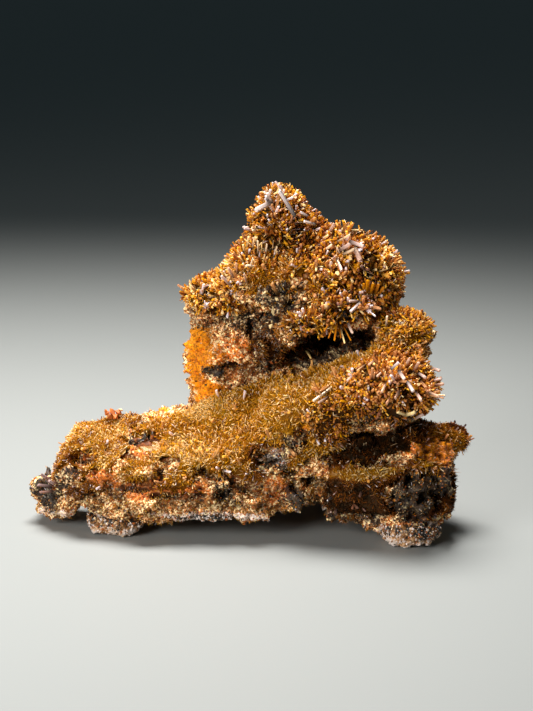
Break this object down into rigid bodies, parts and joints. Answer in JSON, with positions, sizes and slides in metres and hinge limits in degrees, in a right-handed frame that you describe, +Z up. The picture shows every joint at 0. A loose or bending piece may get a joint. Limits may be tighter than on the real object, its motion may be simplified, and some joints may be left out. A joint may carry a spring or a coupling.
{
  "type": "vanadinite on matrix specimen",
  "caption": "Boot-shaped gossan rock with a tower, crusted with golden-brown needle vanadinite and sprays of larger prisms, standing free on its own feet.",
  "frame": {"origin": "centre of the bounding box's base, on the ground it rests on", "axes": "+X to the right along the slab, from toe to heel; +Z up the tower; -Y faces the viewer"},
  "size_m": [0.1084, 0.0516, 0.0822],
  "materials": {
    "gossan": "rough, dull rusty brown gossan",
    "vanadinite": "resinous golden-brown crystal faces",
    "calcite": "sugary off-white crust"
  },
  "bodies": {
    "root": {"gossan_matrix": "gossan", "summit_druse": "vanadinite", "slope_druse": "vanadinite", "toe_druse": "vanadinite", "block_druse": "vanadinite", "crevice_druse": "vanadinite", "left_foot_calcite": "calcite", "right_foot_calcite": "calcite", "sole_calcite": "calcite"}
  },
  "joints": []
}
